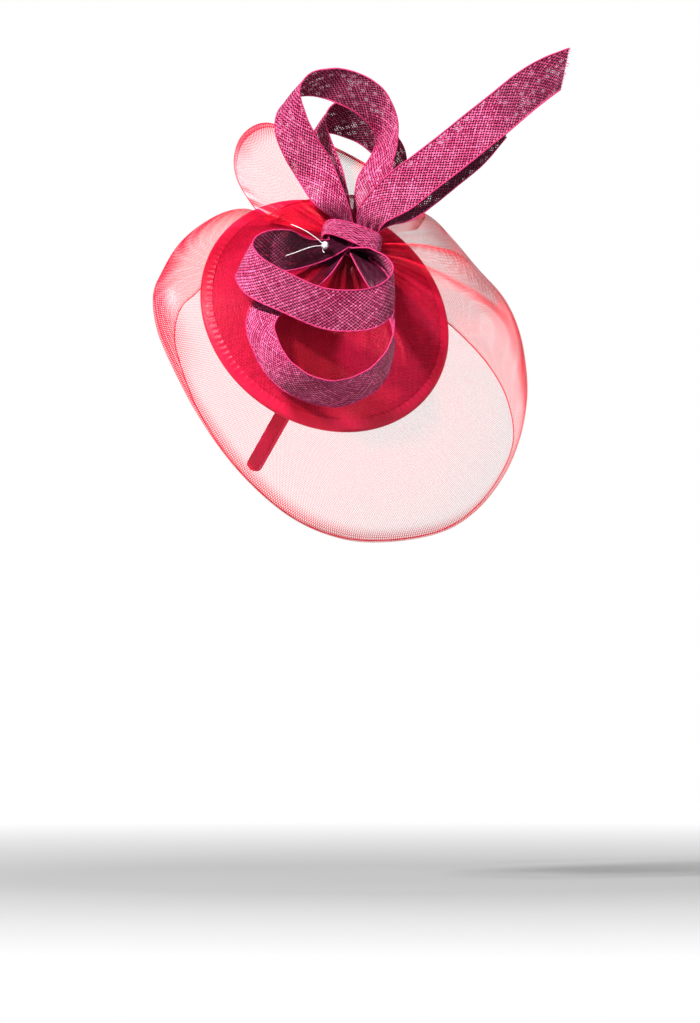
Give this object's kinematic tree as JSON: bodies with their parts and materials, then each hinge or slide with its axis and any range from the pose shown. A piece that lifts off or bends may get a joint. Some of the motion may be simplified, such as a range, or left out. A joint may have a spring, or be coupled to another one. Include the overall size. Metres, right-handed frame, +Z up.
{
  "type": "fascinator headpiece",
  "caption": "Crimson fascinator: a crinoline saucer and crest gathered on a round bound base, looped sinamay strips, and a satin headband.",
  "frame": {"origin": "where the inner face of the headband rests on the crown of the head", "axes": "+Z up on the worn piece, +X the wearer's forward, +Y the wearer's left; the trimming is on the right, towards -Y"},
  "size_m": [0.2544, 0.248, 0.296],
  "materials": {
    "satin": "satin",
    "spring_core": "matte",
    "felt": "matte",
    "base_cloth": "matte",
    "buckram": "matte",
    "wire": "brushed",
    "crinoline": "sheer",
    "sinamay": "woven",
    "thread": "matte"
  },
  "bodies": {
    "headpiece": {"band_cover_crown": "satin", "band_core_crown": "spring_core", "felt_pad": "felt", "band_stitches": "thread", "base_lining": "base_cloth", "base_buckram": "buckram", "base_cover": "base_cloth", "base_wire": "wire", "base_binding": "satin", "crin_gather": "crinoline", "crin_brim": "crinoline", "crin_crest": "crinoline", "loop_upper_front": "sinamay", "loop_upper_back": "sinamay", "loop_lower_front": "sinamay", "loop_lower_hanging": "sinamay", "tail_long": "sinamay", "tail_short": "sinamay", "knot_wrap": "sinamay", "gather_thread": "thread"},
    "left_arm": {"band_core_left": "spring_core", "band_cover_left": "satin"},
    "right_arm": {"band_core_right": "spring_core", "band_cover_right": "satin"}
  },
  "joints": [
    {"name": "left_arm_flex", "type": "hinge", "parent": "headpiece", "child": "left_arm", "pos_m": [-0.00761, 0.04577, -0.01345], "axis": [0.8704, 0, -0.4924], "range_deg": [0, 10], "stiffness_Nm_per_rad": 0.6},
    {"name": "right_arm_flex", "type": "hinge", "parent": "headpiece", "child": "right_arm", "pos_m": [-0.05817, -0.06876, -0.10281], "axis": [-0.8704, 0, 0.4924], "range_deg": [0, 6], "stiffness_Nm_per_rad": 0.6}
  ]
}
